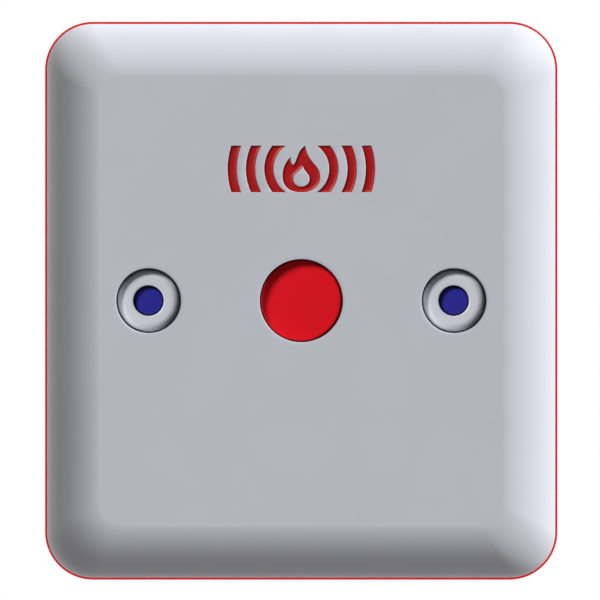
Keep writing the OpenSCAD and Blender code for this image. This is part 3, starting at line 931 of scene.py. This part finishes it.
def back_box():
    wall_foot = 1.5
    bm = bmesh.new()
    path = profile([
        (wall_foot, 0, 0),
        (0, 0, 0.8),
        (0, wall_foot, 0),
        (0, BOX.front - 1, 0),
        (0, BOX.front, 0.4),
        (BOX_WALL, BOX.front, 0.3),
        (BOX_WALL, BASE, 1.2),
        (BOX_WALL + 2, BASE, 0),
    ])
    rings = [box_ring(bm, inset, level) for inset, level in path]
    low = path.index((0, wall_foot))
    # Where the straight top and bottom start in the outline. A knock-out fills each of them
    straights = {1: CORNER_STEPS, -1: 3 * CORNER_STEPS + 2}
    for i, (a, b) in enumerate(zip(rings, rings[1:])):
        join(bm, a, b, straights.values() if i == low else ())
    for side, i in straights.items():
        a, b = rings[low], rings[low + 1]
        knockout(bm, side, [a[i], a[i + 1], b[i + 1], b[i]])
    floor_loops = [pillar(bm, side * SCREW_X) for side in SIDES]
    back_loops = []
    holes = [cable_entry(bm)]
    holes += [fixing(bm, *spot) for spot in four_spots(FIXING_X, FIXING_Y)]
    for start, end in holes:
        floor_loops.append(start)
        back_loops.append(end)
    fill(bm, rings[-1], *floor_loops)
    fill(bm, rings[0], *back_loops)
    return piece(bm, "back_box_shell", "housing", "box_red", "back_box")


def rim_gasket():
    inset = (PLATE_W - (GASKET.right - GASKET.left)) / 2
    wide = 1.1
    bm = bmesh.new()
    section = profile(
        [
            (inset, GASKET.back, 0.2),
            (inset, GASKET.front, 0.2),
            (inset + wide, GASKET.front, 0.2),
            (inset + wide, GASKET.back, 0.2),
        ],
        closed=True,
    )
    skin(bm, [ring(bm, plate_outline(i, CORNER - i), level) for i, level in section], closed=True)
    return piece(bm, "rim_gasket_ring", "housing", "black_rubber", "rim_gasket")


# ---------------- spring and screws


def tube(bm, points, radius, sides=14):
    """A round wire along a line of points, closed at both ends."""
    rings = []
    for i, point in enumerate(points):
        along = (points[min(i + 1, len(points) - 1)] - points[max(i - 1, 0)]).normalized()
        out = Vector((0, 0, 1)) if abs(along.z) < 0.9 else Vector((1, 0, 0))
        side = along.cross(out).normalized()
        up = side.cross(along)
        turns = [math.tau * k / sides for k in range(sides)]
        rings.append([
            bm.verts.new((point + (side * math.cos(a) + up * math.sin(a)) * radius) * MM)
            for a in turns
        ])
    skin(bm, rings)
    bm.faces.new(rings[0])
    bm.faces.new(rings[-1])


def return_spring():
    """Five turns of wire between the retainer and the button, closer together at both ends."""
    wire_r = SPRING_WIRE / 2
    coil_r = (SPRING.right - SPRING.left) / 2 - wire_r
    low = SPRING.back + wire_r
    high = SPRING.front - wire_r
    steps = 48
    count = SPRING_TURNS * steps
    points = []
    for i in range(count + 1):
        u = i / count
        a = math.tau * i / steps
        level = low + (high - low) * u * u * (3 - 2 * u)
        points.append(Vector((coil_r * math.cos(a), -level, coil_r * math.sin(a))))
    bm = bmesh.new()
    tube(bm, points, wire_r)
    spring = piece(bm, "return_spring_coil", "housing", "spring_steel", "return_spring")
    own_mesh(spring)


def thread(bm, axis, start, end, radius, pitch):
    """A screw thread between two levels. Its outer radius is as given and its point is blunt."""
    depth = 0.3 * pitch
    rows_a_turn = 8
    rows_of_neck = 4
    rows = int(abs(end - start) / pitch * rows_a_turn)
    point_share = 0.55
    point_length = 1.6 * radius
    rings = []
    for row in range(rows + 1):
        level = start + (end - start) * row / rows
        taper = min(1, point_share + (1 - point_share) * abs(end - level) / point_length)
        fade = min(1, (rows - row) / rows_a_turn, row / rows_of_neck)
        points = []
        for k in range(SCREW_SIDES):
            a = math.tau * k / SCREW_SIDES
            phase = (level / pitch - k / SCREW_SIDES) % 1
            ridge = abs(2 * phase - 1)
            r = (radius - depth + depth * ridge * fade) * taper
            points.append((axis[0] + r * math.cos(a), axis[1] + r * math.sin(a)))
        rings.append(ring(bm, points, level))
    skin(bm, rings)
    bm.faces.new(rings[-1])
    return rings[0]


def cross(axis, reach, width):
    """The outline of a cross whose four arms have that reach and half that width."""
    points = []
    for k in range(SCREW_SIDES):
        a = math.tau * (k + 0.5) / SCREW_SIDES
        x, y = math.cos(a), math.sin(a)
        arm = max(abs(x), abs(y))
        near = min(abs(x), abs(y))
        r = min(reach / arm, width / max(near, 1e-6))
        points.append((axis[0] + r * x, axis[1] + r * y))
    return points


def cross_head(bm, axis, seat, top, radius):
    """A pan head on its seat, domed at the edge, with a cross recess that narrows downwards."""
    high = abs(top - seat)
    rise = 1 if top > seat else -1
    wall = 0.45
    flat = 0.72
    steps = 6
    side = [(0.5, 0), (1, 0), (1, wall)]
    for i in range(1, steps + 1):
        a = math.radians(90 * i / steps)
        side.append((flat + (1 - flat) * math.cos(a), wall + (1 - wall) * math.sin(a)))
    rings = []
    for share, level in side:
        rings.append(ring(bm, circle(share * radius, axis, SCREW_SIDES), seat + rise * high * level))
    # The recess at its mouth, just below it and at its floor, as shares of the head's radius and height
    for reach, width, level in ((0.62, 0.13, 1), (0.56, 0.1, 0.62), (0.3, 0.08, 0.4)):
        points = cross(axis, reach * radius, width * radius)
        rings.append(ring(bm, points, seat + rise * high * level))
    skin(bm, rings)
    bm.faces.new(rings[-1])
    return rings[0]


def screw(bm, axis, seat, top, point, head_r, shank_r, pitch):
    """A pan-head screw: the head from seat to top, and the thread from seat down to its point."""
    neck = cross_head(bm, axis, seat, top, head_r)
    away = 0.4 if point > seat else -0.4
    start = thread(bm, axis, seat + away, point, shank_r, pitch)
    join(bm, neck, start)


def plate_screws():
    levels = (SCREW_SEAT, PLATE_SCREWS.front, PLATE_SCREWS.back)
    bm = bmesh.new()
    for side in SIDES:
        screw(bm, (side * SCREW_X, 0), *levels, head_r=3.4, shank_r=1.7, pitch=0.6)
    return piece(bm, "plate_screw_pair", "housing", "zinc_steel", "plate_screws")


def small_screws(name, node, seat, centres):
    """Thread-forming screws that go in from behind, head towards the wall."""
    box = extent(node)
    bm = bmesh.new()
    for centre in centres:
        screw(bm, centre, seat, box.back, box.front, head_r=2.4, shank_r=1.15, pitch=0.8)
    return piece(bm, name, "housing", "zinc_steel", node)


def threaded_inserts():
    """Brass inserts with a knurled outside and a waist. Their bores are plain."""
    middle = (INSERTS.back + INSERTS.front) / 2
    bore_r = 1.75
    waist_r = INSERT_R - 0.4
    half = 0.6
    path = profile([
        (bore_r, INSERTS.back, 0),
        (INSERT_R, INSERTS.back, 0.3),
        (INSERT_R, middle - half, 0.15),
        (waist_r, middle - half, 0.15),
        (waist_r, middle + half, 0.15),
        (INSERT_R, middle + half, 0.15),
        (INSERT_R, INSERTS.front, 0.15),
        (bore_r, INSERTS.front, 0),
    ], 2)
    bm = bmesh.new()
    for side in SIDES:
        rings = []
        for radius, level in path:
            knurl = 0.12 if radius > INSERT_R - 0.05 else 0
            points = []
            for k, (x, y) in enumerate(circle(1)):
                r = radius - knurl * (k % 2)
                points.append((side * SCREW_X + r * x, r * y))
            rings.append(ring(bm, points, level))
        skin(bm, rings, closed=True)
    return piece(bm, "knurled_inserts", "housing", "brass", "threaded_inserts")


# ---------------- board parts


def axial_outline(body_r, half, waist):
    """The outline of a body of that radius and half length: (radius, distance along from its middle)."""
    steps = 24
    rounding = 1.1
    bulge = 2
    path = [(0, -half)]
    for i in range(steps + 1):
        along = -half + 2 * half * i / steps
        end = max(0, (abs(along) - half + rounding) / rounding)
        swell = min(1, 2.5 * max(0, (abs(along) - half + bulge) / bulge))
        r = body_r - waist + waist * swell
        path.append((r * math.sqrt(max(0.02, 1 - 0.9 * end ** 4)), along))
    path.append((0, half))
    return path


def axial_part(name, node, slot_name, body_r, half, waist=0):
    """A lacquered body, slimmer in the middle by waist, and a bent wire at each end into the board."""
    bend = 0.7
    box = extent(node)
    row = (box.foot + box.head) / 2
    reach = (box.right - box.left) / 2 - LEAD_R
    middle = box.front - body_r

    def place(u, v, level):
        return at(level, row + u, middle + v)

    bm = bmesh.new()
    turned(bm, axial_outline(body_r, half, waist), place=place, count=32)
    piece(bm, name, "housing", slot_name, node)
    bm = bmesh.new()
    route = [(half - 0.5, middle, 0), (reach, middle, bend), (reach, box.back, 0)]
    for side in SIDES:
        points = [Vector((side * x, -out, row)) for x, out in profile(route, 5)]
        tube(bm, points, LEAD_R, 12)
    piece(bm, name + "_leads", "housing", "tinned_metal")


def pin_rows():
    """Where pins and leads pass through the board: the switch's, the axial parts' and the terminals'."""
    pins = extent("switch_terminals")
    pin_r = (pins.head - pins.foot) / 2
    first = pins.left + pin_r
    last = pins.right - pin_r
    switch = [(first, 0), ((first + last) / 2, 0), (last, 0)]
    axial = []
    for node in AXIAL_NODES:
        box = extent(node)
        reach = (box.right - box.left) / 2 - LEAD_R
        axial += [(side * reach, (box.foot + box.head) / 2) for side in SIDES]
    row = extent("terminal_pins")
    pitch = (row.right - row.left - 2 * pin_r) / (WAYS - 1)
    terminals = [(row.left + pin_r + i * pitch, (row.foot + row.head) / 2) for i in range(WAYS)]
    return switch, axial, terminals


def solder_cone(bm, spot, pin_r, level, away):
    """A small concave cone of solder round a pin. away is 1 on the board's front, -1 on its back."""
    high = 0.75
    wide = 0.75
    steps = 6
    inner = pin_r + 0.02
    path = [(inner, level)]
    for i in range(steps + 1):
        a = math.radians(90 * i / steps)
        path.append((pin_r + 0.1 + wide * (1 - math.sin(a)), level + away * high * (1 - math.cos(a))))
    path.append((inner, level + away * high))
    turned(bm, path, spot, closed=True, count=24)


def solder_joints():
    switch, axial, terminals = pin_rows()
    bm = bmesh.new()
    for spot in switch:
        solder_cone(bm, spot, PIN_R, BOARD.back, -1)
    for spot in axial:
        solder_cone(bm, spot, LEAD_R, BOARD.back, -1)
    for spot in terminals:
        solder_cone(bm, spot, PIN_R, BOARD.front, 1)
    return piece(bm, "solder_joints", "housing", "tinned_metal")


def strip(bm, points, width, level, away, thickness):
    """A flat ribbon along points, standing on a level, with square ends and mitred bends."""
    rings = []
    last = len(points) - 1
    for i, point in enumerate(points):
        here = Vector(point)
        before = (here - Vector(points[max(i - 1, 0)])).normalized()
        after = (Vector(points[min(i + 1, last)]) - here).normalized()
        along = (before + after).normalized()
        side = Vector((-along.y, along.x)) * width / 2
        side /= max(0.5, along.dot(after if i < last else before))
        section = ((-1, 0), (-0.9, 1), (0.9, 1), (1, 0))
        rings.append([
            bm.verts.new(at(here.x + side.x * a, here.y + side.y * a, level + away * thickness * b))
            for a, b in section
        ])
    skin(bm, rings)
    bm.faces.new(rings[0])
    bm.faces.new(rings[-1])


def board_tracks():
    """Copper tracks under the lacquer, raised on the side of the board that faces the wall."""
    (_, normally_open, common), axial, terminals = pin_rows()
    alarm_left, alarm_right, line_left, line_right, diode_left, diode_right = axial
    edge = BLOCK.head + 0.1
    feed = (terminals[0][0], edge)
    back = (terminals[-1][0], edge)
    far_left = -16.5
    far_right = 12
    step = 3
    routes = [
        [feed, (feed[0], diode_left[1] - 1.5), diode_left],
        [diode_right, (diode_right[0], common[1] - diode_right[0] + common[0]), common],
        [normally_open, (alarm_left[0], 1), alarm_left],
        [alarm_right, line_right],
        [
            line_right,
            (far_right - step, line_right[1]),
            (far_right, line_right[1] - step),
            (far_right, edge + 2 * step),
            (back[0], edge + 2 * step - (far_right - back[0])),
            back,
        ],
        [
            line_left,
            (far_left + step, line_left[1]),
            (far_left, line_left[1] - step),
            (far_left, diode_left[1] + 2 * step),
            (far_left + 2 * step, diode_left[1]),
            diode_left,
        ],
    ]
    track_w = 1.3
    raised = 0.05
    bm = bmesh.new()
    for route in routes:
        strip(bm, route, track_w, BOARD.back, -1, raised)
    return piece(bm, "board_tracks", "housing", "board_green", look="board_track")


def printed_frames():
    """White outlines printed on the board round the switch and the axial parts."""
    gap = 0.8
    line_w = 0.2
    raised = 0.03
    frames = [(SWITCH.left, SWITCH.right, SWITCH.foot, SWITCH.head)]
    for node in AXIAL_NODES:
        box = extent(node)
        frames.append((box.left / 2, box.right / 2, box.foot, box.head))
    bm = bmesh.new()
    for left, right, foot, head in frames:
        low = (left - gap, foot - gap)
        high = (right + gap, head + gap)
        corners = [low, (high[0], low[1]), high, (low[0], high[1])]
        for a, b in zip(corners, corners[1:] + corners[:1]):
            strip(bm, [a, b], line_w, BOARD.front, 1, raised)
    return piece(bm, "board_print", "housing", "white_nylon")


# ---------------- scene


def dress_nodes():
    """Gives each CAD node that stays in view its slot's material, and softens its edges."""
    slots = {part["node"]: part["material_slot"] for part in frame["record"]["subparts"]}
    for name, node in frame["nodes"].items():
        if node.hide_render:
            continue
        node.data.materials.clear()
        node.data.materials.append(MATERIALS[slots[name]])
        weld = node.modifiers.new("weld", "WELD")
        weld.merge_threshold = 0.001 * MM
        soften = node.modifiers.new("soften", "BEVEL")
        soften.width = 0.08 * MM
        soften.segments = 2
        soften.angle_limit = math.radians(40)
        soften.harden_normals = True


def sun(name, towards, energy, angle):
    """A distant lamp that shines from that direction, given as across, up and out."""
    lamp = bpy.data.lights.new(name, "SUN")
    lamp.energy = energy
    lamp.angle = math.radians(angle)
    holder = bpy.data.objects.new(name, lamp)
    direction = at(*towards).normalized()
    holder.rotation_euler = direction.to_track_quat("Z", "Y").to_euler()
    holder.location = direction
    bpy.context.scene.collection.objects.link(holder)
    return holder


def link_light(lamp, things, state="INCLUDE"):
    """The lamp lights only these things, or all but these if the state is EXCLUDE."""
    linked = bpy.data.collections.new(lamp.name + "_light")
    for thing in things:
        linked.objects.link(thing)
    for entry in linked.collection_objects:
        entry.light_linking.link_state = state
    lamp.light_linking.receiver_collection = linked


def lamps(sunken, box):
    """One lamp for the plate, one for the pieces sunk in it and two for the box."""
    upper_right = (0.63, 0.64, 0.44)
    upper_left = (-0.55, 0.55, 0.63)
    straight_on = (0, 0, 1)
    key = sun("key", upper_right, energy=3.89, angle=22)
    recess = sun("recess", upper_left, energy=4, angle=18)
    rim = sun("rim", straight_on, energy=3.6, angle=20)
    flank = sun("flank", upper_right, energy=0.9, angle=22)
    link_light(key, [*sunken, box], "EXCLUDE")
    link_light(recess, sunken)
    link_light(rim, [box])
    link_light(flank, [box])
    rim.visible_glossy = False


def soft_world():
    """A surround that is dim in front of the object, bright beside it and less so right behind it."""
    room_light = 0.2
    side_light = 1.25
    back_share = 0.5
    white = (1, 1, 1, 1)
    warm_white = (1, 0.95, 0.9, 1)
    world = bpy.data.worlds.new("soft_world")
    bpy.context.scene.world = world
    world.use_nodes = True
    graph = Graph(world.node_tree)
    graph.nodes.clear()
    place = graph.node("ShaderNodeTexCoord", {}, "Generated")
    depth = graph.node("ShaderNodeSeparateXYZ", {0: place}, "Y")
    beside = graph.spread(depth, room_light, side_light, -0.1, 0.1)
    behind = graph.spread(depth, 1, back_share, 0.6, 0.95)
    strength = graph.maths("MULTIPLY", beside, behind)
    lit = graph.node("ShaderNodeBackground", {"Strength": strength, "Color": warm_white})
    seen = graph.node("ShaderNodeBackground", {"Color": white})
    to_camera = graph.node("ShaderNodeLightPath", {}, "Is Camera Ray")
    either = graph.node("ShaderNodeMixShader", {0: to_camera, 1: lit, 2: seen})
    output = graph.nodes.new("ShaderNodeOutputWorld")
    graph.links.new(either, output.inputs["Surface"])


def pale_floor():
    bm = bmesh.new()
    bmesh.ops.create_grid(bm, x_segments=2, y_segments=2, size=0.9)
    mesh = bpy.data.meshes.new("floor")
    bm.to_mesh(mesh)
    bm.free()
    floor = bpy.data.objects.new("floor", mesh)
    floor.location = (0, 0, -0.4)
    bpy.context.scene.collection.objects.link(floor)
    finish = Finish("floor_white")
    finish.set(base_color=(0.86, 0.86, 0.87, 1), roughness=0.9)
    mesh.materials.append(finish.material)
    floor.visible_diffuse = False
    floor.visible_glossy = False


def front_camera():
    lens = 1000
    sensor = 36
    frame_w = 118.44
    aim_across = -0.24
    aim_up = 0.15
    camera = bpy.data.cameras.new("camera")
    camera.lens = lens
    camera.sensor_width = sensor
    camera.clip_end = 20
    holder = bpy.data.objects.new("camera", camera)
    holder.location = at(aim_across, aim_up, FACE + frame_w * lens / sensor)
    holder.rotation_euler = (math.radians(90), 0, 0)
    bpy.context.scene.collection.objects.link(holder)
    bpy.context.scene.camera = holder


front_plate()
sunken = [symbol_inlay(), button_cap()]
sunken.append(screw_collar(-1, "left_collar_ring", "left_screw_collar"))
sunken.append(screw_collar(1, "right_collar_ring", "right_screw_collar"))
sunken.append(screw_cap(-1, "left_cap_plug", "left_screw_cap"))
sunken.append(screw_cap(1, "right_cap_plug", "right_screw_cap"))
box = back_box()
rim_gasket()
return_spring()
plate_screws()
retainer_spots = [(side * RETAINER_X, 0) for side in SIDES]
small_screws("retainer_screw_pair", "retainer_screws", RETAINER_FOOT, retainer_spots)
small_screws("board_screw_set", "board_screws", BOARD.back, four_spots(POST_X, POST_Y))
threaded_inserts()
axial_part("alarm_resistor_body", "alarm_resistor", "resistor_tan", 1.2, 3.2, waist=0.2)
axial_part("line_resistor_body", "end_of_line_resistor", "resistor_blue", 1.2, 3.2, waist=0.2)
axial_part("diode_body", "blocking_diode", "diode_black", 1.3, 2.6)
solder_joints()
board_tracks()
printed_frames()
dress_nodes()
lamps(sunken, box)
soft_world()
pale_floor()
front_camera()
bpy.context.scene.view_settings.view_transform = "Standard"
